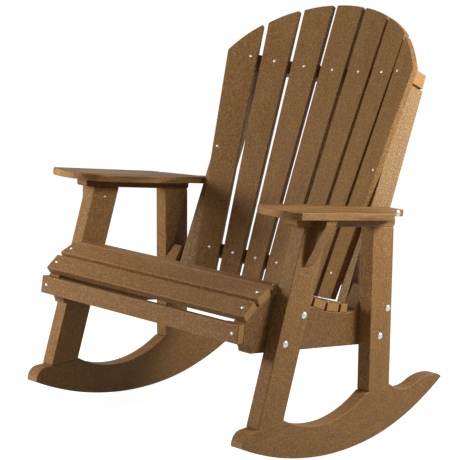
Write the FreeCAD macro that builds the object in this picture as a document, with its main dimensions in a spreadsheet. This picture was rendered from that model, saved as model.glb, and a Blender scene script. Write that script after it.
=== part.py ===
"""Rocking garden chair of recycled plastic boards, with a curved seven-slat fan back.

The chair faces -Y, +Z is up, and the floor is at Z = 0. X = 0 is its plane of symmetry.
All sizes are in millimetres and angles in degrees. Left and right are the sitter's.
"""
import FreeCAD, Part
import math
import os
import Sketcher
from types import SimpleNamespace
from FreeCAD import Placement, Rotation, Vector

SIZES = {
    # board stock and edges
    "frame_stock": 38.1,
    "slat_stock": 22.0,
    "arm_stock": 18.0,
    "back_stock": 18.0,
    "batten_stock": 22.0,
    "edge_ease": 2.5,
    # rockers
    "rocker_front_radius": 963.0,
    "rocker_rear_radius": 783.0,
    "rocker_low_y": 3.1,
    "nose_reach": 53.0,
    "nose_shoulder": 32.0,
    "front_foot_z": 136.0,
    "rear_foot_z": 131.0,
    "foot_margin": 6.0,
    "scoop_z": 90.0,
    "tail_dip_run": 68.6,
    "tail_dip_depth": 73.6,
    "tail_rise_run": 125.6,
    "tail_rise_depth": 63.4,
    "tail_crest_run": 175.6,
    "tail_crest_depth": 47.8,
    "tail_shoulder_run": 221.6,
    "tail_shoulder_depth": 18.2,
    "tail_tip_run": 237.6,
    # legs
    "leg_inner_x": 339.0,
    "leg_width": 88.9,
    "front_leg_y": -377.0,
    "front_leg_lean": 18.3,
    "front_leg_cut": 30.0,
    "rear_leg_lean": 1.2,
    "rear_leg_top_z": 559.5,
    "arm_drop": 7.9,
    # side rails
    "rail_bottom_z": 311.0,
    "rail_bottom_drop": 8.4,
    "cove_radius": 27.0,
    "horn_foot_setback": 102.0,
    "horn_foot_rise": 30.0,
    "horn_top_setback": 62.0,
    "horn_top_rise": 89.0,
    "rail_end_margin": 12.0,
    "rail_end_rise": 71.0,
    # seat slats
    "apron_reach": 17.0,
    "apron_rise": 29.5,
    "apron_top_drop": 22.0,
    "apron_cove_gap": 3.0,
    "seat_nosing": 2.0,
    "seat_rise": 96.0,
    "seat_slat_width": 48.5,
    "last_slat_width": 29.0,
    "seat_gap": 7.9,
    "seat_angle_a": 36.0,
    "seat_angle_b": 21.0,
    "seat_angle_c": -8.0,
    "seat_angle_d": -22.0,
    "seat_angle_e": -27.0,
    "seat_angle_f": -22.5,
    "seat_angle_g": -13.5,
    "seat_angle_last": -12.0,
    # back
    "back_recline": 23.0,
    "seat_back_gap": 53.1,
    "back_curve_radius": 625.0,
    "lower_rail_s": 426.6,
    "upper_rail_s": 974.6,
    "upper_screw_rise": 6.0,
    "fan_lower_inset": 35.4,
    "fan_upper_lap": 28.2,
    "back_gap": 12.0,
    "slat_bottom_drop": 66.0,
    "arch_rise": 195.0,
    "arch_radius": 391.0,
    "outer_slat_extra": 7.5,
    "back_rail_depth": 38.1,
    "rail_setback": 17.3,
    "upright_depth": 63.8,
    "upright_gap": 8.4,
    "middle_screw_s": 707.6,
    "middle_screw_edge": 23.4,
    "outer_screw_inset": 22.0,
    # arms, battens under them, and corbels
    "arm_overhang": 46.9,
    "arm_width": 162.0,
    "arm_nose_radius": 94.0,
    "arm_nose_reach": 75.0,
    "arm_sweep_run": 181.0,
    "tongue_width": 50.4,
    "tongue_run": 140.0,
    "arm_taper_run": 155.0,
    "tongue_flat": 49.0,
    "tongue_overhang": 24.4,
    "batten_front_overhang": 29.0,
    "batten_rear_overhang": 2.9,
    "batten_corner": 8.0,
    "corbel_reach": 40.0,
    "corbel_height": 104.0,
    "corbel_tip": 6.0,
    "corbel_lip": 8.0,
    "corbel_screw_drop": 40.0,
    "corbel_screw_bite": 12.0,
    # fasteners
    "bolt_diameter": 7.9,
    "bolt_head_diameter": 18.0,
    "bolt_head_height": 5.0,
    "nut_width": 12.7,
    "nut_height": 6.8,
    "washer_diameter": 16.0,
    "washer_height": 1.6,
    "bolt_end": 3.0,
    "front_bolt_high_offset": 30.7,
    "front_bolt_high_rise": 73.0,
    "front_bolt_low_offset": -17.1,
    "front_bolt_low_rise": 15.0,
    "rear_bolt_high_rise": 28.0,
    "rear_bolt_low_rise": -40.0,
    "rear_bolt_edge": 39.6,
    "rear_bolt_inset": 12.3,
    "arm_bolt_inset": 32.9,
    "spacer_diameter": 22.0,
    "screw_diameter": 4.8,
    "screw_head_diameter": 8.5,
    "screw_head_height": 2.2,
    "screw_bite": 28.0,
    "screw_point_length": 1.0,
    "screw_point_diameter": 1.2,
    "hole_clearance": 0.15,
    "screw_edge": 19.0,
}

doc = FreeCAD.newDocument("RockingChair")
sheet = doc.addObject("Spreadsheet::Sheet", "Sizes")
for row, (name, value) in enumerate(SIZES.items(), start=1):
    sheet.set("A%d" % row, name)
    sheet.set("B%d" % row, str(value))
    sheet.setAlias("B%d" % row, name)
doc.recompute()
S = SimpleNamespace(**{name: float(sheet.get(name)) for name in SIZES})

EX = Vector(1, 0, 0)
EY = Vector(0, 1, 0)
EZ = Vector(0, 0, 1)
SIDES = {"left": 1, "right": -1}

nodes = []


def direction(angle):
    """Unit vector in a side view (y, z), turned up by an angle from the rear."""
    return math.cos(math.radians(angle)), math.sin(math.radians(angle))


def tangent(angle):
    return math.tan(math.radians(angle))


# Sketches are lists of segments: two points make a line and three an arc.

def polygon(points):
    return [(a, b) for a, b in zip(points, points[1:] + points[:1])]


def add_outline(sketch, segments, holes):
    for segment in segments:
        flat = [Vector(p[0], p[1], 0) for p in segment]
        if len(flat) == 2:
            sketch.addGeometry(Part.LineSegment(flat[0], flat[1]), False)
        else:
            sketch.addGeometry(Part.Arc(flat[0], flat[1], flat[2]), False)
    for x, y, size_name in holes:
        diameter = getattr(S, size_name) + 2 * S.hole_clearance
        index = sketch.addGeometry(Part.Circle(Vector(x, y, 0), EZ, 0.5 * diameter), False)
        number = sketch.addConstraint(Sketcher.Constraint("Diameter", index, diameter))
        sketch.setExpression("Constraints[%d]" % number, "Sizes.%s + 2 * Sizes.hole_clearance" % size_name)


def board(label, segments, thickness, place, holes=(), eased=True):
    """A flat board: its outline is drawn in its own XY plane and it is as thick as the named size."""
    body = doc.addObject("PartDesign::Body", label)
    body.Label = label
    plane = [f for f in body.Origin.OriginFeatures if f.Role == "XY_Plane"][0]
    sketch = body.newObject("Sketcher::SketchObject", label + "_outline")
    sketch.AttachmentSupport = (plane, [""])
    sketch.MapMode = "FlatFace"
    add_outline(sketch, segments, holes)
    pad = body.newObject("PartDesign::Pad", label + "_pad")
    pad.Profile = sketch
    pad.setExpression("Length", "Sizes." + thickness)
    doc.recompute()
    if eased:
        ease(body, pad)
    body.Placement = place
    return body


def ease(body, pad):
    """Round the long edges of a board and leave its bored holes sharp."""
    names = []
    for number, edge in enumerate(pad.Shape.Edges, start=1):
        if not edge.isClosed():
            names.append("Edge%d" % number)
    fillet = body.newObject("PartDesign::Fillet", pad.Name + "_eased")
    fillet.Base = (pad, names)
    fillet.setExpression("Radius", "Sizes.edge_ease")
    doc.recompute()


def side_place(x):
    """Places a side view (y, z), whose thickness then runs along +X from x."""
    return Placement(Vector(x, 0, 0), Rotation(EY, EZ, EX, "XYZ"))


def side_x(side, inner_x, thickness):
    """The low X of a piece that starts at inner_x on the left side, or of its mirror image."""
    return inner_x if side > 0 else -inner_x - thickness


def bore(label, blank, axes, size_name):
    """Cuts blind or through bores into a board. Each axis is a start, a direction and a depth."""
    drills = []
    for number, (start, along, depth) in enumerate(axes, start=1):
        drill = doc.addObject("Part::Cylinder", "%s_drill_%d" % (label, number))
        drill.setExpression("Radius", "Sizes.%s / 2 + Sizes.hole_clearance" % size_name)
        drill.Height = depth
        drill.Placement = Placement(start, Rotation(EZ, along))
        drills.append(drill)
    tool = drills[0]
    if len(drills) > 1:
        tool = doc.addObject("Part::MultiFuse", label + "_drills")
        tool.Shapes = drills
    cut = doc.addObject("Part::Cut", label)
    cut.Label = label
    cut.Base = blank
    cut.Tool = tool
    return cut


def keep(piece):
    nodes.append(piece)
    return piece


# How far a cutting tool runs past the board that it cuts.
CUT_SPARE = 1.0

# From the outside in, each side has its legs on the rocker, the side rail and, spaced off it, the upright.

apron_back_y = S.front_leg_y - S.apron_reach
frame_outer_x = S.leg_inner_x + S.frame_stock
rail_inner_x = S.leg_inner_x - S.frame_stock
upright_outer_x = rail_inner_x - S.upright_gap
upright_inner_x = upright_outer_x - S.frame_stock
lean_slope = tangent(S.front_leg_lean)
front_leg_run = S.leg_width / math.cos(math.radians(S.front_leg_lean))


# Seat: each slat lies on a flat of the side rails' top edge.

SEAT_ANGLES = [S.seat_angle_a, S.seat_angle_b, S.seat_angle_c, S.seat_angle_d,
               S.seat_angle_e, S.seat_angle_f, S.seat_angle_g, S.seat_angle_last]


def seat_rows():
    """Front edge of the top of each slat (y, z), its angle and its width, from front to rear.

    The gap between two slats is kept at half their thickness, so it is wider on top where they bend down.
    """
    rows = []
    y = apron_back_y - S.seat_nosing
    z = S.rail_bottom_z + S.seat_rise
    for index, angle in enumerate(SEAT_ANGLES):
        width = S.last_slat_width if index == len(SEAT_ANGLES) - 1 else S.seat_slat_width
        rows.append((y, z, angle, width))
        along, up = direction(angle)
        y += width * along
        z += width * up
        if index < len(SEAT_ANGLES) - 1:
            following = SEAT_ANGLES[index + 1]
            along, up = direction(0.5 * (angle + following))
            bend = math.radians(0.5 * (angle - following))
            gap = S.seat_gap + S.slat_stock * math.sin(bend)
            y += gap * along
            z += gap * up
    return rows


def seat_end():
    """Rear edge of the last slat's top (y, z)."""
    y, z, angle, width = seat_rows()[-1]
    along, up = direction(angle)
    return y + width * along, z + width * up


def underside_point(row):
    y, z, angle, width = row
    along, up = direction(angle)
    return y + S.slat_stock * up, z - S.slat_stock * along


def meet(first, second):
    """Where the undersides of two neighbouring slats would meet, in side view."""
    (y1, z1), a1 = underside_point(first), first[2]
    (y2, z2), a2 = underside_point(second), second[2]
    y = (z2 - z1 + tangent(a1) * y1 - tangent(a2) * y2) / (tangent(a1) - tangent(a2))
    return y, z1 + tangent(a1) * (y - y1)


# Back: a point is given by x, by n, how far it stands forward of the middle slat's front face,
# and by s, how far up that reclined face it is from the floor.

back_sin = math.sin(math.radians(S.back_recline))
back_cos = math.cos(math.radians(S.back_recline))
BACK_NORMAL = Vector(0, -back_cos, back_sin)
BACK_UP = Vector(0, back_sin, back_cos)
BACK_NUMBERS = range(-3, 4)
OUTER = BACK_NUMBERS[-1]

# The fan's outer slats reach the uprights' front faces, lower down beside them and higher up over them.
upper_screw_s = S.upper_rail_s + S.upper_screw_rise
lower_pitch = (upright_inner_x - S.fan_lower_inset) / OUTER
upper_pitch = (upright_inner_x + S.fan_upper_lap) / OUTER
pitch_growth = (upper_pitch - lower_pitch) / (upper_screw_s - S.lower_rail_s)
slat_bottom_s = S.lower_rail_s - S.slat_bottom_drop
arch_top_s = S.upper_rail_s + S.arch_rise


def pitch(s):
    return lower_pitch + pitch_growth * (s - S.lower_rail_s)


class BackSlat:
    """Where one slat of the fan lies. Number 0 is the middle one and +3 the outer left one."""

    def __init__(self, number):
        low = number * lower_pitch / S.back_curve_radius
        high = number * upper_pitch / S.back_curve_radius
        self.number = number
        self.turn = 0.5 * (low + high)
        self.front = (S.back_curve_radius * math.sin(low), S.back_curve_radius * (1 - math.cos(low)))
        self.rear = (self.front[0] + S.back_stock * math.sin(self.turn),
                     self.front[1] - S.back_stock * math.cos(self.turn))

    def rear_point(self, a):
        """A point (x, n) of the rear face, a millimetres across from the fan's middle line."""
        across = a - self.number * lower_pitch
        return self.rear[0] + across * math.cos(self.turn), self.rear[1] + across * math.sin(self.turn)

    def rear_n(self, x):
        return self.rear[1] + (x - self.rear[0]) * math.tan(self.turn)

    def edge(self, s, hand):
        """Distance from the fan's middle line to a long edge. The outer slats are wider outwards."""
        extra = S.outer_slat_extra if self.number * hand == OUTER else 0
        return (self.number + 0.5 * hand) * pitch(s) + hand * (extra - 0.5 * S.back_gap)

    def place(self):
        across = Vector(math.cos(self.turn), 0, 0) + BACK_NORMAL * math.sin(self.turn)
        forward = BACK_NORMAL * math.cos(self.turn) - Vector(math.sin(self.turn), 0, 0)
        return Placement(back_point(self.rear[0], self.rear[1], 0),
                         Rotation(across, BACK_UP, forward, "XYZ"))

    def local(self, a, s):
        return a - self.number * lower_pitch, s

    def on_arch(self, hand):
        """Where a long edge meets the arch that the tops are cut to."""
        centre = arch_top_s - S.arch_radius
        slope = (self.number + 0.5 * hand) * pitch_growth
        start = self.edge(0, hand)
        qa = 1 + slope ** 2
        qb = 2 * (slope * start - centre)
        qc = start ** 2 + centre ** 2 - S.arch_radius ** 2
        s = (-qb + math.sqrt(qb ** 2 - 4 * qa * qc)) / (2 * qa)
        return self.edge(s, hand), s

    def outline(self):
        low_left = (self.edge(slat_bottom_s, -1), slat_bottom_s)
        low_right = (self.edge(slat_bottom_s, 1), slat_bottom_s)
        top_left = self.on_arch(-1)
        top_right = self.on_arch(1)
        mid_a = 0.5 * (top_left[0] + top_right[0])
        mid_s = arch_top_s - S.arch_radius + math.sqrt(S.arch_radius ** 2 - mid_a ** 2)
        corners = [self.local(*p) for p in (low_left, low_right, top_right, (mid_a, mid_s), top_left)]
        return [(corners[0], corners[1]), (corners[1], corners[2]),
                (corners[2], corners[3], corners[4]), (corners[4], corners[0])]

    def is_outer(self):
        return abs(self.number) == OUTER

    def screws(self):
        """The three rows of screws, each as (a, s)."""
        hand = 1 if self.number > 0 else -1
        upper = self.number * upper_pitch
        rows = {"lower": (self.number * lower_pitch, S.lower_rail_s)}
        rows["upper"] = (upper, upper_screw_s)
        if self.is_outer():
            rows["upper"] = (upper - hand * S.outer_screw_inset, upper_screw_s)
            across = upright_inner_x + S.middle_screw_edge - abs(self.rear[0])
            middle = self.number * lower_pitch + hand * across / math.cos(self.turn)
            rows["middle"] = (middle, S.middle_screw_s)
        return rows


outer_slat = BackSlat(OUTER)
outer_edge = outer_slat.edge(slat_bottom_s, 1) - OUTER * lower_pitch
outer_edge_n = outer_slat.front[1] + outer_edge * math.sin(outer_slat.turn)
seat_end_y, seat_end_z = seat_end()
back_foot_y = seat_end_y + (outer_edge_n + S.seat_back_gap - back_sin * seat_end_z) / back_cos

# The uprights stand behind the outer slats, with their fronts bevelled to lie flat on them.
upright_front_n = outer_slat.rear_n(upright_inner_x)
upright_rear_n = upright_front_n - S.upright_depth


def back_point(x, n, s):
    return Vector(x, back_foot_y, 0) + BACK_NORMAL * n + BACK_UP * s


# Side rails: their bottom edge is the line that the frame's heights are taken from.

apron_bottom_z = S.rail_bottom_z + S.apron_rise
apron_drop = S.seat_rise - S.apron_rise - S.apron_top_drop
apron_height = apron_drop / math.cos(math.radians(S.rail_bottom_drop))


def rail_bottom(y):
    return S.rail_bottom_z - tangent(S.rail_bottom_drop) * (y - apron_back_y - S.cove_radius)


def rail_front_y(z):
    """The rails' front ends are cut square to their bottom edges, and the apron lies on them."""
    return apron_back_y + tangent(S.rail_bottom_drop) * (z - apron_bottom_z)


def rear_bolt(rise):
    """The rear leg bolts go through the uprights too, in a line along their rear edges."""
    z = S.rail_bottom_z + rise
    n = upright_rear_n + S.rear_bolt_inset
    return back_foot_y + (back_sin * z - n) / back_cos, z


def front_bolt(rise, offset):
    z = S.rail_bottom_z + rise
    return front_leg_axis(z) + offset, z


def front_leg_axis(z):
    """Middle of the front leg's width at a height, in side view."""
    return S.front_leg_y + 0.5 * front_leg_run + lean_slope * (z - S.front_foot_z)


leg_bolts = {
    "front": [front_bolt(S.front_bolt_high_rise, S.front_bolt_high_offset),
              front_bolt(S.front_bolt_low_rise, S.front_bolt_low_offset)],
    "rear": [rear_bolt(S.rear_bolt_high_rise), rear_bolt(S.rear_bolt_low_rise)],
}
rail_end_y = leg_bolts["rear"][0][0] + S.rail_end_margin
rear_leg_y = leg_bolts["rear"][1][0] - S.rear_bolt_edge


def leg_bores(which):
    return [(y, z, "bolt_diameter") for y, z in leg_bolts[which]]


def side_rail_outline():
    rows = seat_rows()
    first_y, first_z = underside_point(rows[0])
    slope = tangent(rows[0][2])
    fall = tangent(S.rail_bottom_drop)
    rise = first_z + slope * (rail_front_y(0) - first_y)
    top_z = rise / (1 - slope * fall)
    top_front = (rail_front_y(top_z), top_z)
    top = [top_front] + [meet(a, b) for a, b in zip(rows, rows[1:])]
    last_y, last_z = underside_point(rows[-1])
    along, up = direction(rows[-1][2])
    run = S.last_slat_width + S.screw_head_height
    top.append((last_y + run * along, last_z + run * up))
    top += [(rail_end_y - S.horn_foot_setback, S.rail_bottom_z + S.horn_foot_rise),
            (rail_end_y - S.horn_top_setback, S.rail_bottom_z + S.horn_top_rise),
            (rail_end_y, S.rail_bottom_z + S.rail_end_rise)]
    cove_end = (apron_back_y + S.cove_radius, S.rail_bottom_z)
    cove_start_z = apron_bottom_z - S.apron_cove_gap
    cove_start = (rail_front_y(cove_start_z), cove_start_z)
    cove_mid = (cove_start[0] + (cove_end[0] - cove_start[0]) * math.sqrt(0.5),
                cove_end[1] + (cove_start[1] - cove_end[1]) * math.sqrt(0.5))
    rear_low = (rail_end_y, rail_bottom(rail_end_y))
    chain = [cove_start] + top + [rear_low, cove_end]
    lines = [(a, b) for a, b in zip(chain, chain[1:])]
    return lines + [(cove_end, cove_mid, cove_start)]


# Legs and rockers

def leg_top_z(y):
    """Height of the plane that the leg tops are cut to, and that the battens lie on."""
    return S.rear_leg_top_z - tangent(S.arm_drop) * (y - rear_leg_y)


def above_leg_top(y, lift):
    """A point of the same plane moved up square to it."""
    along, up = direction(-S.arm_drop)
    return y - lift * up, leg_top_z(y) + lift * along


def rocker_underside(y):
    """Height of the running edge: two arcs that meet level, under the chair's centre of mass."""
    reach = y - S.rocker_low_y
    radius = S.rocker_front_radius if reach < 0 else S.rocker_rear_radius
    return radius - math.sqrt(radius ** 2 - reach ** 2)


# Where the arc round a rocker's nose passes, as shares of the shoulder behind the nose and below the top.
NOSE_BULGE = (0.25, 0.3)


def rocker_outline():
    front_foot = (S.front_leg_y - S.foot_margin, S.front_leg_y + front_leg_run + S.foot_margin)
    rear_foot = (rear_leg_y - S.foot_margin, rear_leg_y + S.leg_width + S.foot_margin)
    nose_y = S.front_leg_y - S.nose_reach
    nose_low = (nose_y, rocker_underside(nose_y))
    nose_mid = (nose_y + NOSE_BULGE[0] * S.nose_shoulder, S.front_foot_z - NOSE_BULGE[1] * S.nose_shoulder)
    nose_top = (nose_y + S.nose_shoulder, S.front_foot_z)
    foot_end = (front_foot[1], S.front_foot_z)
    rear_start = (rear_foot[0], S.rear_foot_z)
    rear_end = (rear_foot[1], S.rear_foot_z)
    scoop = (0.5 * (foot_end[0] + rear_start[0]), S.scoop_z)
    tail = [(S.tail_dip_run, S.tail_dip_depth), (S.tail_rise_run, S.tail_rise_depth),
            (S.tail_crest_run, S.tail_crest_depth), (S.tail_shoulder_run, S.tail_shoulder_depth),
            (S.tail_tip_run, 0.0)]
    dip, rise, crest, shoulder, tip = [(rear_foot[1] + run, rocker_underside(rear_foot[1] + run) + depth)
                                       for run, depth in tail]
    low = (S.rocker_low_y, 0.0)
    rear_mid, front_mid = [(y, rocker_underside(y)) for y in
                           (0.5 * (low[0] + tip[0]), 0.5 * (low[0] + nose_low[0]))]
    return [
        (nose_low, nose_mid, nose_top),
        (nose_top, foot_end),
        (foot_end, scoop, rear_start),
        (rear_start, rear_end),
        (rear_end, dip, rise),
        (rise, crest, shoulder),
        (shoulder, tip),
        (tip, rear_mid, low),
        (low, front_mid, nose_low),
    ]


def front_leg_outline():
    front_slope_y = S.front_leg_y + lean_slope * (leg_top_z(S.front_leg_y) - S.front_foot_z)
    cut_y = front_slope_y - lean_slope * S.front_leg_cut
    kink_z = S.front_foot_z + (cut_y - S.front_leg_y) / lean_slope
    rear_foot_y = S.front_leg_y + front_leg_run
    rise = (leg_top_z(rear_foot_y) - S.front_foot_z) / (1 + tangent(S.arm_drop) * lean_slope)
    return polygon([
        (S.front_leg_y, S.front_foot_z),
        (rear_foot_y, S.front_foot_z),
        (rear_foot_y + lean_slope * rise, S.front_foot_z + rise),
        (cut_y, leg_top_z(cut_y)),
        (cut_y, kink_z),
    ])


def rear_leg_outline():
    """A straight leg that leans a little forward from its foot."""
    def top(foot_y):
        fall = tangent(S.arm_drop)
        slope = tangent(S.rear_leg_lean)
        rise = (leg_top_z(foot_y) - S.rear_foot_z) / (1 - fall * slope)
        return foot_y - slope * rise, S.rear_foot_z + rise

    rear_y = rear_leg_y + S.leg_width
    return polygon([(rear_leg_y, S.rear_foot_z), (rear_y, S.rear_foot_z), top(rear_y), top(rear_leg_y)])


def make_rockers():
    for name, side in SIDES.items():
        x = side_x(side, S.leg_inner_x, S.frame_stock)
        keep(board("rocker_" + name, rocker_outline(), "frame_stock", side_place(x)))


def corbel_screw():
    """Where a corbel is screwed on through its leg, in side view."""
    z = leg_top_z(S.front_leg_y + front_leg_run) - S.corbel_screw_drop
    return front_leg_axis(z), z


def make_legs():
    corbel_hole = corbel_screw() + ("screw_diameter",)
    for name, side in SIDES.items():
        x = side_x(side, S.leg_inner_x, S.frame_stock)
        holes = leg_bores("front") + [corbel_hole]
        keep(board("front_leg_" + name, front_leg_outline(), "frame_stock", side_place(x), holes))
        keep(board("rear_leg_" + name, rear_leg_outline(), "frame_stock", side_place(x), leg_bores("rear")))


def slat_place(row):
    y, z = underside_point(row)
    return Placement(Vector(0, y, z), Rotation(EX, row[2]))


def rectangle(x0, y0, x1, y1):
    return polygon([(x0, y0), (x1, y0), (x1, y1), (x0, y1)])


def make_seat():
    half = S.leg_inner_x
    screw_x = half - S.screw_edge
    axes = {name: [] for name in SIDES}
    heads = []
    for number, row in enumerate(seat_rows(), start=1):
        place = slat_place(row)
        middle = 0.5 * row[3]
        holes = [(side * screw_x, middle, "screw_diameter") for side in SIDES.values()]
        outline = rectangle(-half, 0, half, row[3])
        keep(board("seat_slat_%d" % number, outline, "slat_stock", place, holes))
        for name, side in SIDES.items():
            down = place.Rotation.multVec(-EZ)
            axes[name].append((place.multVec(Vector(side * screw_x, middle, 0)), down, S.screw_bite))
            heads.append((place.multVec(Vector(side * screw_x, middle, S.slat_stock)), down))
    add_apron(axes, screw_x)
    for name, side in SIDES.items():
        x = side_x(side, rail_inner_x, S.frame_stock)
        holes = leg_bores("front") + leg_bores("rear")
        blank = board("side_rail_%s_blank" % name, side_rail_outline(), "frame_stock", side_place(x), holes)
        keep(bore("side_rail_" + name, blank, axes[name], "screw_diameter"))
    fasteners("seat_slat_screws", screw_shape(S.slat_stock + S.screw_bite), heads)


def add_apron(axes, screw_x):
    half = S.leg_inner_x
    place = Placement(Vector(0, apron_back_y, apron_bottom_z), Rotation(EX, 90 - S.rail_bottom_drop))
    middle = 0.5 * apron_height
    back = place.Rotation.multVec(-EZ)
    holes = [(side * screw_x, middle, "screw_diameter") for side in SIDES.values()]
    keep(board("front_apron", rectangle(-half, 0, half, apron_height), "slat_stock", place, holes))
    heads = []
    for name, side in SIDES.items():
        axes[name].append((place.multVec(Vector(side * screw_x, middle, 0)), back, S.screw_bite))
        heads.append((place.multVec(Vector(side * screw_x, middle, S.slat_stock)), back))
    fasteners("apron_screws", screw_shape(S.slat_stock + S.screw_bite), heads)


def back_rail_outline(half_length, s):
    """Front flats that the slats lie on, and a rear edge bowed like them, as (x, n)."""
    front = []
    for number in BACK_NUMBERS:
        slat = BackSlat(number)
        ends = [(number - 0.5) * pitch(s), (number + 0.5) * pitch(s)]
        points = [slat.rear_point(a) for a in ends]
        if number == -OUTER:
            points[0] = (-half_length, outer_slat.rear_n(half_length))
        if number == OUTER:
            points[1] = (half_length, outer_slat.rear_n(half_length))
        front += points
    lines = [(a, b) for a, b in zip(front, front[1:])]
    end = (half_length, upright_rear_n + S.rail_setback)
    middle = (0, BackSlat(0).rear[1] - S.back_rail_depth)
    start = (-half_length, end[1])
    return lines + [(front[-1], end), (end, middle, start), (start, front[0])]


def back_rail(label, half_length, s, axes):
    place = Placement(back_point(0, 0, s + 0.5 * S.frame_stock), Rotation(EX, BACK_NORMAL, -BACK_UP, "XYZ"))
    blank = board(label + "_blank", back_rail_outline(half_length, s), "frame_stock", place)
    keep(bore(label, blank, axes, "screw_diameter"))


def upright_foot(n):
    """Where a line of the upright meets the rails' bottom edge, in side view."""
    start = back_point(0, n, 0)
    s = (rail_bottom(start.y) - start.z) / (back_cos + tangent(S.rail_bottom_drop) * back_sin)
    point = back_point(0, n, s)
    return point.y, point.z


def upright_outline():
    """From the rails' bottom edge up to the underside of the upper rail."""
    top_s = S.upper_rail_s - 0.5 * S.frame_stock
    edges = (outer_slat.rear_n(upright_outer_x), upright_rear_n)
    feet = [upright_foot(n) for n in edges]
    tops = [back_point(0, n, top_s) for n in reversed(edges)]
    return polygon(feet + [(p.y, p.z) for p in tops])


def bevelled(label, blank, side):
    """Planes an upright's front to the outer slat's rear face."""
    inner_x = upright_inner_x - CUT_SPARE
    outer_x = upright_outer_x + CUT_SPARE
    front_n = outer_slat.rear_n(outer_x)
    corners = [(inner_x, outer_slat.rear_n(inner_x)), (outer_x, front_n), (inner_x, front_n)]
    place = Placement(back_point(0, 0, S.upper_rail_s), Rotation(EX, BACK_NORMAL, -BACK_UP, "XYZ"))
    outline = polygon([(side * x, n) for x, n in corners])
    tool = board(label + "_plane", outline, "upper_rail_s", place, eased=False)
    cut = doc.addObject("Part::Cut", label + "_bevelled")
    cut.Base = blank
    cut.Tool = tool
    return cut


def arm_bolt_run():
    """How far along the arm its bolt is, where the arm's mid plane meets the bolt's line in the upright."""
    y, z = above_leg_top(0, S.batten_stock + 0.5 * S.arm_stock)
    n = (back_foot_y - y) * back_cos + z * back_sin
    recline = math.radians(S.back_recline - S.arm_drop)
    return (n - upright_rear_n - S.arm_bolt_inset) / math.cos(recline)


def arm_bolt_point():
    """Middle of the arm's thickness where the bolt goes through its tongue, in side view."""
    y, z = above_leg_top(0, S.batten_stock + 0.5 * S.arm_stock)
    along, up = direction(-S.arm_drop)
    return y + arm_bolt_run() * along, z + arm_bolt_run() * up


def make_back():
    rows = {"lower": [], "middle": [], "upper": []}
    heads = {"lower": [], "middle": [], "upper": []}
    for index, number in enumerate(BACK_NUMBERS, start=1):
        slat = BackSlat(number)
        place = slat.place()
        holes = []
        for row, (a, s) in slat.screws().items():
            x, y = slat.local(a, s)
            back = place.Rotation.multVec(-EZ)
            holes.append((x, y, "screw_diameter"))
            rows[row].append((place.multVec(Vector(x, y, 0)), back, S.screw_bite))
            heads[row].append((place.multVec(Vector(x, y, S.back_stock)), back))
        keep(board("back_slat_%d" % index, slat.outline(), "back_stock", place, holes))
    back_rail("lower_back_rail", upright_inner_x, S.lower_rail_s, rows["lower"])
    back_rail("upper_back_rail", rail_inner_x, S.upper_rail_s, rows["upper"])
    bolt_y, bolt_z = arm_bolt_point()
    holes = [(bolt_y, bolt_z, "bolt_diameter")] + leg_bores("rear")
    for name, side in SIDES.items():
        x = side_x(side, upright_inner_x, S.frame_stock)
        label = "back_upright_" + name
        blank = board(label + "_blank", upright_outline(), "frame_stock", side_place(x), holes)
        axis = [a for a in rows["middle"] if a[0].x * side > 0]
        keep(bore(label, bevelled(label, blank, side), axis, "screw_diameter"))
    for row in ("lower", "middle", "upper"):
        fasteners("back_slat_screws_" + row, screw_shape(S.back_stock + S.screw_bite), heads[row])


# Arms, with the battens that they lie on and the corbels under them

def batten_ends():
    """The battens lie on the tops of both legs and reach a little past them."""
    front_corner = front_leg_outline()[3][0]
    rear_corner = rear_leg_outline()[2][0]
    return front_corner[0] - S.batten_front_overhang, rear_corner[0] + S.batten_rear_overhang


def batten_outline():
    front, rear = batten_ends()
    along, up = direction(-S.arm_drop)
    corner = S.batten_corner
    low_front = (front, leg_top_z(front))
    low_rear = (rear, leg_top_z(rear))

    def point(base, forward, lift):
        return base[0] + forward * along - lift * up, base[1] + forward * up + lift * along

    half = corner * (1 - math.sqrt(0.5))
    front_arc = (point(low_front, 0, corner), point(low_front, half, half), point(low_front, corner, 0))
    rear_arc = (point(low_rear, -corner, 0), point(low_rear, -half, half), point(low_rear, 0, corner))
    top_front = point(low_front, 0, S.batten_stock)
    top_rear = point(low_rear, 0, S.batten_stock)
    return [front_arc, (front_arc[2], rear_arc[0]), rear_arc, (rear_arc[2], top_rear),
            (top_rear, top_front), (top_front, front_arc[0])]


# The share of an arm's narrowing that its inner edge has made halfway along the sweep.
SWEEP_BULGE = 0.36


def arm_outline(side):
    """Plan of an arm, as x and a distance to the rear along its slope."""
    outer = frame_outer_x + S.arm_overhang
    inner = outer - S.arm_width
    radius = S.arm_nose_radius
    centre_x = inner + radius
    centre_y = batten_ends()[0] - S.arm_nose_reach + radius
    corner_turn = math.asin((outer - centre_x) / radius)
    tongue_end = arm_bolt_run() + S.tongue_overhang

    def nose(turn):
        return centre_x + radius * math.sin(turn), centre_y - radius * math.cos(turn)

    corner = nose(corner_turn)
    inner_start = nose(-0.5 * math.pi)
    nose_mid = nose(0.5 * (corner_turn - 0.5 * math.pi))
    sweep_end = (upright_outer_x, tongue_end - S.tongue_run)
    straight_end = (inner, sweep_end[1] - S.arm_sweep_run)
    sweep_mid = (inner + SWEEP_BULGE * (upright_outer_x - inner), sweep_end[1] - 0.5 * S.arm_sweep_run)
    tongue_outer = upright_outer_x + S.tongue_width
    points = [
        (corner, nose_mid, inner_start),
        (inner_start, straight_end),
        (straight_end, sweep_mid, sweep_end),
        (sweep_end, (upright_outer_x, tongue_end)),
        ((upright_outer_x, tongue_end), (tongue_outer, tongue_end)),
        ((tongue_outer, tongue_end), (tongue_outer, tongue_end - S.tongue_flat)),
        ((tongue_outer, tongue_end - S.tongue_flat), (outer, tongue_end - S.arm_taper_run)),
        ((outer, tongue_end - S.arm_taper_run), corner),
    ]
    return [tuple((side * x, y) for x, y in segment) for segment in points]


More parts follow.
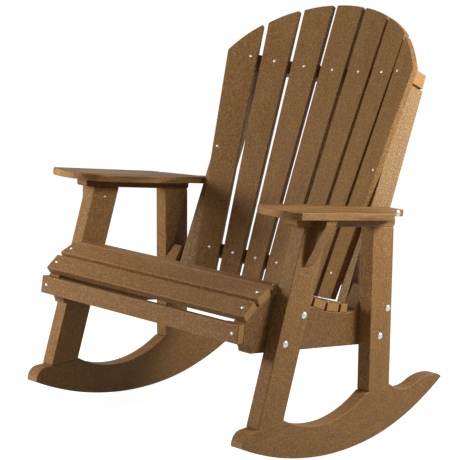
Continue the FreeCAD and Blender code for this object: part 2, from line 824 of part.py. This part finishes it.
def make_arms():
    y, z = above_leg_top(0, S.batten_stock)
    place = Placement(Vector(0, y, z), Rotation(EX, -S.arm_drop))
    bolt_y, bolt_z = arm_bolt_point()
    for name, side in SIDES.items():
        blank = board("arm_%s_blank" % name, arm_outline(side), "arm_stock", place)
        start = Vector(side * (upright_outer_x - CUT_SPARE), bolt_y, bolt_z)
        axis = [(start, EX * side, S.tongue_width + 2 * CUT_SPARE)]
        keep(bore("arm_" + name, blank, axis, "bolt_diameter"))
        x = side_x(side, S.leg_inner_x, S.frame_stock)
        keep(board("arm_batten_" + name, batten_outline(), "frame_stock", side_place(x)))


def make_corbels():
    """Each corbel follows the leg's lean, and its top is cut to the arm's underside."""
    half_run = 0.5 * S.frame_stock / math.cos(math.radians(S.front_leg_lean))
    top_lift = S.batten_stock / math.cos(math.radians(S.arm_drop))

    def arm_underside(offset):
        start = S.front_leg_y + 0.5 * front_leg_run + offset
        fall = tangent(S.arm_drop)
        rise = (leg_top_z(start) + top_lift - S.front_foot_z) / (1 + fall * lean_slope)
        return start + lean_slope * rise, S.front_foot_z + rise

    top_front = arm_underside(-half_run)
    top_rear = arm_underside(half_run)
    low_z = top_rear[1] - S.corbel_height
    low_front = (front_leg_axis(low_z) - half_run, low_z)
    low_rear = (front_leg_axis(low_z) + half_run, low_z)
    profile = polygon([low_front, low_rear, top_rear, top_front])
    high_z = top_front[1] + CUT_SPARE
    for name, side in SIDES.items():
        x = side_x(side, frame_outer_x, S.corbel_reach)
        blade = board("corbel_%s_blade" % name, profile, "corbel_reach", side_place(x), eased=False)
        face = [(0, low_z), (S.corbel_tip, low_z), (S.corbel_reach, top_rear[1] - S.corbel_lip),
                (S.corbel_reach, high_z), (0, high_z)]
        triangle = polygon([(side * (frame_outer_x + fx), fz) for fx, fz in face])
        depth_place = Placement(Vector(0, top_rear[0] + CUT_SPARE, 0), Rotation(EX, 90))
        facing = board("corbel_%s_face" % name, triangle, "leg_width", depth_place, eased=False)
        both = doc.addObject("Part::MultiCommon", "corbel_%s_blank" % name)
        both.Shapes = [blade, facing]
        start = Vector(side * frame_outer_x, *corbel_screw())
        axis = [(start, EX * side, S.corbel_screw_bite)]
        keep(bore("arm_corbel_" + name, both, axis, "screw_diameter"))


# Fasteners: each kind is turned once and set at every place where it is used.

def dome(diameter, height):
    """A low domed head standing on Z = 0 and rising along -Z, so that its shank runs along +Z."""
    radius = 0.5 * diameter
    ball = (radius ** 2 + height ** 2) / (2 * height)
    sphere = Part.makeSphere(ball, Vector(0, 0, ball - height))
    box = Part.makeBox(4 * ball, 4 * ball, height, Vector(-2 * ball, -2 * ball, -height))
    return sphere.common(box)


def screw_shape(length):
    straight = length - S.screw_point_length
    shank = Part.makeCylinder(0.5 * S.screw_diameter, straight)
    point = Part.makeCone(0.5 * S.screw_diameter, 0.5 * S.screw_point_diameter, S.screw_point_length,
                          Vector(0, 0, straight))
    return dome(S.screw_head_diameter, S.screw_head_height).fuse([shank, point]).removeSplitter()


def bolt_shape(length):
    shank = Part.makeCylinder(0.5 * S.bolt_diameter, length)
    return dome(S.bolt_head_diameter, S.bolt_head_height).fuse(shank).removeSplitter()


def nut_shape():
    """A hexagon nut on a washer, bored for the bolt."""
    radius = S.nut_width / math.sqrt(3)
    corners = [Vector(radius * math.cos(k * math.pi / 3), radius * math.sin(k * math.pi / 3), S.washer_height)
               for k in range(7)]
    prism = Part.Face(Part.makePolygon(corners)).extrude(Vector(0, 0, S.nut_height))
    washer = Part.makeCylinder(0.5 * S.washer_diameter, S.washer_height)
    hole = Part.makeCylinder(0.5 * S.bolt_diameter + 0.5 * S.hole_clearance, S.nut_height + S.washer_height)
    return washer.fuse(prism).removeSplitter().cut(hole)


def fasteners(label, shape, places):
    """One node of like fasteners. Each place is a seat point and the direction of the shank."""
    copies = []
    for point, along in places:
        copy = shape.copy()
        copy.Placement = Placement(point, Rotation(EZ, along))
        copies.append(copy)
    feature = doc.addObject("Part::Feature", label)
    feature.Label = label
    feature.Shape = Part.makeCompound(copies)
    keep(feature)


def spacer_shape():
    """A round spacer between a side rail and an upright, bored for the bolt."""
    hole = Part.makeCylinder(0.5 * S.bolt_diameter + 0.5 * S.hole_clearance, S.upright_gap)
    return Part.makeCylinder(0.5 * S.spacer_diameter, S.upright_gap).cut(hole)


def bolt_set(label, points, head_x, nut_x):
    """Bolts from an outer face at head_x to nuts on an inner face at nut_x, on both sides."""
    length = head_x - nut_x + S.washer_height + S.nut_height + S.bolt_end
    heads = [(Vector(side * head_x, y, z), EX * -side) for side in SIDES.values() for y, z in points]
    nuts = [(Vector(side * nut_x, y, z), EX * -side) for side in SIDES.values() for y, z in points]
    fasteners(label + "_bolts", bolt_shape(length), heads)
    fasteners(label + "_nuts", nut_shape(), nuts)


def make_bolts():
    bolt_set("front_leg", leg_bolts["front"], frame_outer_x, rail_inner_x)
    bolt_set("rear_leg", leg_bolts["rear"], frame_outer_x, upright_inner_x)
    bolt_set("arm", [arm_bolt_point()], upright_outer_x + S.tongue_width, upright_inner_x)
    seats = [(Vector(side * rail_inner_x, y, z), EX * -side)
             for side in SIDES.values() for y, z in leg_bolts["rear"]]
    fasteners("bolt_spacers", spacer_shape(), seats)
    seats = [(Vector(side * S.leg_inner_x, *corbel_screw()), EX * side) for side in SIDES.values()]
    fasteners("corbel_screws", screw_shape(S.frame_stock + S.corbel_screw_bite), seats)


make_rockers()
make_legs()
make_seat()
make_back()
make_arms()
make_corbels()
make_bolts()
doc.recompute()

for item in doc.Objects:
    if "Invalid" in item.State or "Error" in item.State:
        raise RuntimeError("failed feature: " + item.Label)
for piece in nodes:
    if piece.Shape.isNull() or not piece.Shape.isValid():
        raise RuntimeError("bad shape: " + piece.Label)

# The origin is set on the floor, midway between the chair's front and rear ends.
whole = Part.makeCompound([piece.Shape for piece in nodes]).optimalBoundingBox(False)
for piece in nodes:
    centred = piece.Placement
    centred.move(Vector(0, -whole.Center.y, 0))
    piece.Placement = centred
doc.recompute()

os.makedirs("parts", exist_ok=True)
for piece in nodes:
    piece.Shape.exportStep("parts/%s.step" % piece.Label)
print("nodes", len(nodes))
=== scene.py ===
import math

import bpy
from mathutils import Euler, Matrix, Vector

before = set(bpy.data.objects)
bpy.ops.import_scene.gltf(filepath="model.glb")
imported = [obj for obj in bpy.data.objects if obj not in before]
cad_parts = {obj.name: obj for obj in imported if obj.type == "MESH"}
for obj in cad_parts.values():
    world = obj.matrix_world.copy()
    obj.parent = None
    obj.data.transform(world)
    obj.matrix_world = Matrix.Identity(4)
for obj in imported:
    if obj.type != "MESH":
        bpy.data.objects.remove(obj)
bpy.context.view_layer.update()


# Rockers: two runners sawn from 38 mm recycled polyethylene lumber. The board is extruded
# brown all through and its faces are wire-brushed along their length, which leaves a
# matte surface with fine pale flecks and shallow grooves.
def linear(hex_code):
    """Turns an sRGB hex value into Blender's linear colour."""
    channels = [int(hex_code[i:i + 2], 16) / 255 for i in (1, 3, 5)]
    return tuple(c / 12.92 if c <= 0.04045 else ((c + 0.055) / 1.055) ** 2.4 for c in channels) + (1.0,)


def empty_tree(owner):
    """Gives a material or the world a node tree with nothing in it."""
    owner.use_nodes = True
    owner.node_tree.nodes.clear()
    return owner.node_tree


def add_node(tree, kind, settings=None, links=None):
    """Adds a node, sets its properties and plain socket values, and links sockets to its inputs."""
    node = tree.nodes.new(kind)
    for name, value in (settings or {}).items():
        if isinstance(name, int) or name in node.inputs:
            node.inputs[name].default_value = value
        else:
            setattr(node, name, value)
    for name, socket in (links or {}).items():
        tree.links.new(socket, node.inputs[name])
    return node


# A mix node names its sockets alike for each kind of value, so its colour sockets go by number.
MIX_SHARE, MIX_UNDER, MIX_OVER = 0, 6, 7
MIX_RESULT = 2

# All patterns are given in repeats to the metre, first along the grain and then across it.
GROOVES = (25.0, 330.0, 330.0)
CLOUDS = (5.0, 16.0, 16.0)
FLOWS = (2.5, 27.0, 27.0)
BRUSH_DEPTH = 0.0016
EASED_EDGE = 0.003


def brushed_lumber(name, grain_turn, tone="#8E683A", dark="#664423", fleck_and_end_highlight="#B4884F", edge_highlight="#AE8048",
                   figure=0.0, fleck_share=0.75):
    """Wire-brushed polyethylene lumber whose grain runs along local X after grain_turn (degrees).

    figure is how strongly long wavy streaks show, and fleck_share how strongly the flecks do.
    """
    material = bpy.data.materials.new(name)
    tree = empty_tree(material)
    turn = tuple(math.radians(angle) for angle in grain_turn)
    place = add_node(tree, "ShaderNodeTexCoord")
    turned = add_node(tree, "ShaderNodeMapping", {"vector_type": "TEXTURE", "Rotation": turn},
                      {"Vector": place.outputs["Object"]})

    # Brushed grooves: about 1.2 mm apart and 40 mm long, drawn 3 mm apart so that they show.
    grooves = add_node(tree, "ShaderNodeMapping", {"Scale": GROOVES}, {"Vector": turned.outputs["Vector"]})
    streak = add_node(tree, "ShaderNodeTexNoise", {"Scale": 1.0, "Detail": 3.0, "Roughness": 0.6},
                      {"Vector": grooves.outputs["Vector"]})
    streak_mask = add_node(tree, "ShaderNodeMapRange", {"From Min": 0.42, "From Max": 0.62, "To Max": 0.4},
                           {"Value": streak.outputs["Fac"]})

    # Flecks of paler resin and darker pits between them: 1 to 2 mm across in such lumber, drawn
    # 4.5 mm so that they show.
    fleck_size = 4.5
    flecks = add_node(tree, "ShaderNodeTexNoise",
                      {"Scale": 1000.0 / fleck_size, "Detail": 2.0, "Roughness": 0.65},
                      {"Vector": turned.outputs["Vector"]})
    fleck_mask = add_node(tree, "ShaderNodeMapRange",
                          {"From Min": 0.50, "From Max": 0.72, "To Max": fleck_share},
                          {"Value": flecks.outputs["Fac"]})
    pit_mask = add_node(tree, "ShaderNodeMapRange", {"From Min": 0.47, "From Max": 0.28, "To Max": 0.7},
                        {"Value": flecks.outputs["Fac"]})

    # Slow changes of tone along a board, over 60 to 200 mm.
    cloud_space = add_node(tree, "ShaderNodeMapping", {"Scale": CLOUDS}, {"Vector": turned.outputs["Vector"]})
    cloud = add_node(tree, "ShaderNodeTexNoise", {"Scale": 1.0, "Detail": 2.0},
                     {"Vector": cloud_space.outputs["Vector"]})
    cloud_mask = add_node(tree, "ShaderNodeMapRange", {"From Min": 0.35, "From Max": 0.7, "To Max": 0.35},
                          {"Value": cloud.outputs["Fac"]})

    # Streaks where two batches of resin ran together in the mould, 37 mm wide and 400 mm long.
    flow_space = add_node(tree, "ShaderNodeMapping", {"Scale": FLOWS}, {"Vector": turned.outputs["Vector"]})
    flow = add_node(tree, "ShaderNodeTexNoise", {"Scale": 1.0, "Detail": 4.0, "Distortion": 0.9},
                    {"Vector": flow_space.outputs["Vector"]})
    flow_mask = add_node(tree, "ShaderNodeMapRange", {"From Min": 0.42, "From Max": 0.6, "To Max": figure},
                         {"Value": flow.outputs["Fac"]})

    # Faces across the grain, the sawn ends, are painted paler than the brushed faces: a painted highlight for
    # the light the ends catch.
    grain = Euler(turn).to_matrix() @ Vector((1, 0, 0))
    flat = add_node(tree, "ShaderNodeNewGeometry")
    facing = add_node(tree, "ShaderNodeVectorMath", {"operation": "DOT_PRODUCT", 1: grain},
                      {0: flat.outputs["True Normal"]})
    end_face = add_node(tree, "ShaderNodeMath", {"operation": "ABSOLUTE"}, {0: facing.outputs["Value"]})
    end_highlight_mask = add_node(tree, "ShaderNodeMapRange", {"From Min": 0.9, "From Max": 0.97, "To Max": 0.55},
                        {"Value": end_face.outputs["Value"]})

    # The eased edges are painted paler within 3 mm of the corner, a painted highlight along the rounded
    # edges.
    rounded = add_node(tree, "ShaderNodeBevel", {"samples": 4, "Radius": EASED_EDGE})
    closeness = add_node(tree, "ShaderNodeVectorMath", {"operation": "DOT_PRODUCT"},
                         {0: rounded.outputs["Normal"], 1: flat.outputs["True Normal"]})
    edge_highlight_mask = add_node(tree, "ShaderNodeMapRange", {"From Min": 0.995, "From Max": 0.93, "To Max": 0.7},
                         {"Value": closeness.outputs["Value"]})

    # Each colour lies over the ones before it, as far as its mask lets it show.
    base = add_node(tree, "ShaderNodeMix",
                    {"data_type": "RGBA", MIX_UNDER: linear(tone), MIX_OVER: linear(dark)},
                    {MIX_SHARE: cloud_mask.outputs["Result"]})
    colour = base.outputs[MIX_RESULT]
    for mask, over in ((streak_mask, dark), (pit_mask, dark), (fleck_mask, fleck_and_end_highlight),
                       (flow_mask, dark), (end_highlight_mask, fleck_and_end_highlight), (edge_highlight_mask, edge_highlight)):
        layer = add_node(tree, "ShaderNodeMix", {"data_type": "RGBA", MIX_OVER: linear(over)},
                         {MIX_SHARE: mask.outputs["Result"], MIX_UNDER: colour})
        colour = layer.outputs[MIX_RESULT]

    # Grooves and flecks stand in relief, and the flecks are the rougher parts.
    height = add_node(tree, "ShaderNodeMath", {"operation": "MULTIPLY_ADD", 1: 0.5},
                      {0: streak.outputs["Fac"], 2: flecks.outputs["Fac"]})
    bump = add_node(tree, "ShaderNodeBump", {"Strength": 0.9, "Distance": BRUSH_DEPTH},
                    {"Height": height.outputs["Value"]})
    rough = add_node(tree, "ShaderNodeMapRange",
                     {"From Min": 0.3, "From Max": 0.7, "To Min": 0.5, "To Max": 0.68},
                     {"Value": flecks.outputs["Fac"]})
    shader = add_node(tree, "ShaderNodeBsdfPrincipled", {"IOR": 1.5, "Specular IOR Level": 0.2},
                      {"Base Color": colour, "Roughness": rough.outputs["Result"],
                       "Normal": bump.outputs["Normal"]})
    add_node(tree, "ShaderNodeOutputMaterial", {}, {"Surface": shader.outputs["BSDF"]})
    return material


def rising(angle):
    """The turn of a grain that runs towards the rear and rises by an angle."""
    return 0, -angle, 90


def dress(material, names):
    """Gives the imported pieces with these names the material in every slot."""
    for name in names:
        mesh = bpy.data.objects[name].data
        for index in range(max(1, len(mesh.materials))):
            if index < len(mesh.materials):
                mesh.materials[index] = material
            else:
                mesh.materials.append(material)


def pair(name):
    """The names of a piece's left and right copies."""
    return [name + "_left", name + "_right"]


runner_lumber = brushed_lumber("brushed_polyethylene_runner", rising(0), tone="#8A6437")
dress(runner_lumber, pair("rocker"))

# Legs: four pieces of 38 by 89 mm polyethylene lumber that stand on the runners, with a
# corbel screwed to each front one. The front pair leans back and its grain leans too; the
# rear pair is all but upright.
FRONT_LEG_LEAN = 18.3
front_leg_lumber = brushed_lumber("brushed_polyethylene_front_leg", rising(90 - FRONT_LEG_LEAN))
rear_leg_lumber = brushed_lumber("brushed_polyethylene_rear_leg", rising(90))
dress(front_leg_lumber, pair("front_leg") + pair("arm_corbel"))
dress(rear_leg_lumber, pair("rear_leg"))

# Seat rails: two shaped rails of polyethylene lumber, bolted inside the legs to carry the
# seat. They are sawn from wide boards, and they are painted a shade darker all over: painted
# shade for the shadow that the legs and arms cast on their outer faces.
RAIL_DROP = 8.4
rail_lumber_painted_shade = brushed_lumber("brushed_polyethylene_rail_painted_shade", rising(-RAIL_DROP),
                             tone="#7C5831", dark="#5A3C20", fleck_and_end_highlight="#A07846")
dress(rail_lumber_painted_shade, pair("side_rail"))

# Seat: eight slats of polyethylene lumber 22 mm thick are screwed to the curved top of the
# rails, and an apron board closes the front. The grain runs from side to side, and the sawn
# ends are painted paler, a painted highlight for the light they catch.
ALONG_THE_SEAT = (0, 0, 0)
SEAT_SLATS = 8
seat_lumber = brushed_lumber("brushed_polyethylene_seat_slat", ALONG_THE_SEAT, tone="#876138")
dress(seat_lumber, ["seat_slat_%d" % number for number in range(1, SEAT_SLATS + 1)] + ["front_apron"])

# Back: seven tapering polyethylene slats are screwed in a fan to two bowed rails, and two
# posts hold the rails. The slats' grain follows the back's slope. The posts are painted
# paler, with the strongest flecks: painted light for the lamp light on their outer faces.
BACK_RECLINE = 23.0
BACK_SLATS = 7
back_lumber = brushed_lumber("brushed_polyethylene_back_slat", rising(90 - BACK_RECLINE))
post_lumber_painted_lit = brushed_lumber("brushed_polyethylene_back_post_painted_lit", rising(90 - BACK_RECLINE),
                             tone="#94734C", dark="#6E5130", fleck_and_end_highlight="#C6A67C", edge_highlight="#B08A5E",
                             fleck_share=0.85)
bow_lumber = brushed_lumber("brushed_polyethylene_bowed_rail", ALONG_THE_SEAT, tone="#7E5A33")
dress(back_lumber, ["back_slat_%d" % number for number in range(1, BACK_SLATS + 1)])
dress(post_lumber_painted_lit, pair("back_upright"))
dress(bow_lumber, ["upper_back_rail", "lower_back_rail"])

# Arms: each is one wide polyethylene board 18 mm thick, lying on a batten across the leg
# tops. They catch the most light, and arms and battens are painted paler as painted light
# for it. Long wavy streaks of the resin show in them.
ARM_DROP = 7.9
arm_lumber_painted_lit = brushed_lumber("brushed_polyethylene_arm_painted_lit", rising(-ARM_DROP),
                            tone="#A47A43", fleck_and_end_highlight="#B48952", edge_highlight="#C39862", figure=0.95)
dress(arm_lumber_painted_lit, pair("arm") + pair("arm_batten"))


# Fasteners: stainless steel bolts clamp the legs and arms, and stainless screws hold the
# slats. Their domed heads are tumbled, which leaves them bright and soft with faint fine
# scratches.
def tumbled_steel(name, tone, roughness):
    """Tumbled stainless steel, with marks 0.5 mm long and stains 6 mm across."""
    marks_per_metre = 1800.0
    stains_per_metre = 160.0
    material = bpy.data.materials.new(name)
    tree = empty_tree(material)
    place = add_node(tree, "ShaderNodeTexCoord")
    marks = add_node(tree, "ShaderNodeTexNoise", {"Scale": marks_per_metre, "Detail": 2.0},
                     {"Vector": place.outputs["Object"]})
    stain = add_node(tree, "ShaderNodeTexNoise", {"Scale": stains_per_metre, "Detail": 2.0},
                     {"Vector": place.outputs["Object"]})
    rough = add_node(tree, "ShaderNodeMapRange",
                     {"From Min": 0.3, "From Max": 0.7,
                      "To Min": roughness - 0.06, "To Max": roughness + 0.08},
                     {"Value": marks.outputs["Fac"]})
    colour = add_node(tree, "ShaderNodeMix",
                      {"data_type": "RGBA", MIX_UNDER: linear(tone), MIX_OVER: linear("#9C9892")},
                      {MIX_SHARE: stain.outputs["Fac"]})
    bump = add_node(tree, "ShaderNodeBump", {"Strength": 0.15, "Distance": 0.0002},
                    {"Height": marks.outputs["Fac"]})
    shader = add_node(tree, "ShaderNodeBsdfPrincipled", {"Metallic": 1.0},
                      {"Base Color": colour.outputs[MIX_RESULT], "Roughness": rough.outputs["Result"],
                       "Normal": bump.outputs["Normal"]})
    add_node(tree, "ShaderNodeOutputMaterial", {}, {"Surface": shader.outputs["BSDF"]})
    return material


bolt_steel = tumbled_steel("tumbled_stainless_bolt", "#D9D9D6", 0.28)
screw_steel = tumbled_steel("tumbled_stainless_screw", "#D2D3D2", 0.32)
dress(bolt_steel, ["front_leg_bolts", "rear_leg_bolts", "arm_bolts",
                   "front_leg_nuts", "rear_leg_nuts", "arm_nuts", "bolt_spacers"])
dress(screw_steel, ["seat_slat_screws", "apron_screws", "corbel_screws",
                    "back_slat_screws_lower", "back_slat_screws_middle", "back_slat_screws_upper"])


# Floor: a plain studio floor in matte white paint. It looks white to the camera and keeps a
# faint shadow of the chair, and to the chair it is a pale matte surface.
def seen_directly(tree):
    """1 for a ray from the camera, off a glossy surface or through glass, and 0 for any other."""
    rays = add_node(tree, "ShaderNodeLightPath")
    seen = rays.outputs["Is Camera Ray"]
    for kind in ("Is Glossy Ray", "Is Transmission Ray"):
        either = add_node(tree, "ShaderNodeMath", {"operation": "MAXIMUM"}, {0: seen, 1: rays.outputs[kind]})
        seen = either.outputs["Value"]
    return seen


WHITE = (1, 1, 1, 1)
FLOOR_HALF = 30.0
FLOOR_GLOW = 0.94
floor_mesh = bpy.data.meshes.new("studio_floor")
floor_mesh.from_pydata([(-FLOOR_HALF, -FLOOR_HALF, 0), (FLOOR_HALF, -FLOOR_HALF, 0),
                        (FLOOR_HALF, FLOOR_HALF, 0), (-FLOOR_HALF, FLOOR_HALF, 0)], [], [(0, 1, 2, 3)])
floor = bpy.data.objects.new("studio_floor", floor_mesh)
bpy.context.scene.collection.objects.link(floor)
floor_paint = bpy.data.materials.new("white_floor_paint")
tree = empty_tree(floor_paint)
strength = add_node(tree, "ShaderNodeMath", {"operation": "MULTIPLY", 1: FLOOR_GLOW},
                    {0: seen_directly(tree)})
glow = add_node(tree, "ShaderNodeEmission", {"Color": WHITE}, {"Strength": strength.outputs["Value"]})
speck = add_node(tree, "ShaderNodeTexNoise", {"Scale": 40.0, "Detail": 2.0})
tint = add_node(tree, "ShaderNodeMix",
                {"data_type": "RGBA", MIX_UNDER: linear("#BEBEBC"), MIX_OVER: linear("#C4C4C2")},
                {MIX_SHARE: speck.outputs["Fac"]})
matte = add_node(tree, "ShaderNodeBsdfDiffuse", {}, {"Color": tint.outputs[MIX_RESULT]})
both = add_node(tree, "ShaderNodeAddShader", {}, {0: matte.outputs["BSDF"], 1: glow.outputs["Emission"]})
add_node(tree, "ShaderNodeOutputMaterial", {}, {"Surface": both.outputs["Shader"]})
floor_mesh.materials.append(floor_paint)

# Light: a soft key lamp stands close on the chair's left and a little behind it, a broader
# fill stands at its right front, and the room around is even and pale.
world = bpy.data.worlds.new("pale_room")
bpy.context.scene.world = world
tree = empty_tree(world)
room = add_node(tree, "ShaderNodeBackground", {"Color": WHITE, "Strength": 0.13})
backdrop = add_node(tree, "ShaderNodeBackground", {"Color": WHITE, "Strength": 1.0})
surround = add_node(tree, "ShaderNodeMixShader", {},
                    {0: seen_directly(tree), 1: room.outputs["Background"],
                     2: backdrop.outputs["Background"]})
add_node(tree, "ShaderNodeOutputWorld", {}, {"Surface": surround.outputs["Shader"]})


def area_lamp(name, watts, size, position, target):
    """A round lamp of a given width, turned to face the target."""
    data = bpy.data.lights.new(name, "AREA")
    data.energy = watts
    data.shape = "DISK"
    data.size = size
    lamp = bpy.data.objects.new(name, data)
    away = Vector(position) - Vector(target)
    lamp.matrix_world = Matrix.Translation(position) @ away.to_track_quat("Z", "Y").to_matrix().to_4x4()
    bpy.context.scene.collection.objects.link(lamp)


area_lamp("key_lamp", 18.5, 0.45, (1.15, 0.48, 1.15), (0.25, 0.1, 0.6))
area_lamp("front_fill", 38.0, 0.8, (-1.25, -1.7, 1.15), (0.0, 0.0, 0.5))

# Camera: it stands at the photograph's viewing angle, to the chair's left front and a
# little above its back, with a long lens.
CAMERA_PLACE = (2.5151, -2.9171, 1.3047)
YAW, PITCH, ROLL = (math.radians(angle) for angle in (41.3708, 10.9095, 1.2547))
camera_data = bpy.data.cameras.new("photo_camera")
camera_data.sensor_width = 36.0
camera_data.lens = 117.02
camera_data.shift_x = -0.0036
camera_data.shift_y = -0.0504
camera_data.clip_end = 200.0
camera = bpy.data.objects.new("photo_camera", camera_data)
bpy.context.scene.collection.objects.link(camera)
ahead = Vector((-math.sin(YAW) * math.cos(PITCH), math.cos(YAW) * math.cos(PITCH), -math.sin(PITCH)))
level_right = ahead.cross(Vector((0, 0, 1))).normalized()
level_up = level_right.cross(ahead)
right = math.cos(ROLL) * level_right + math.sin(ROLL) * level_up
up = -math.sin(ROLL) * level_right + math.cos(ROLL) * level_up
rows = [(right[i], up[i], -ahead[i], CAMERA_PLACE[i]) for i in range(3)]
camera.matrix_world = Matrix(rows + [(0, 0, 0, 1)])
bpy.context.scene.camera = camera
bpy.context.scene.view_settings.view_transform = "Standard"
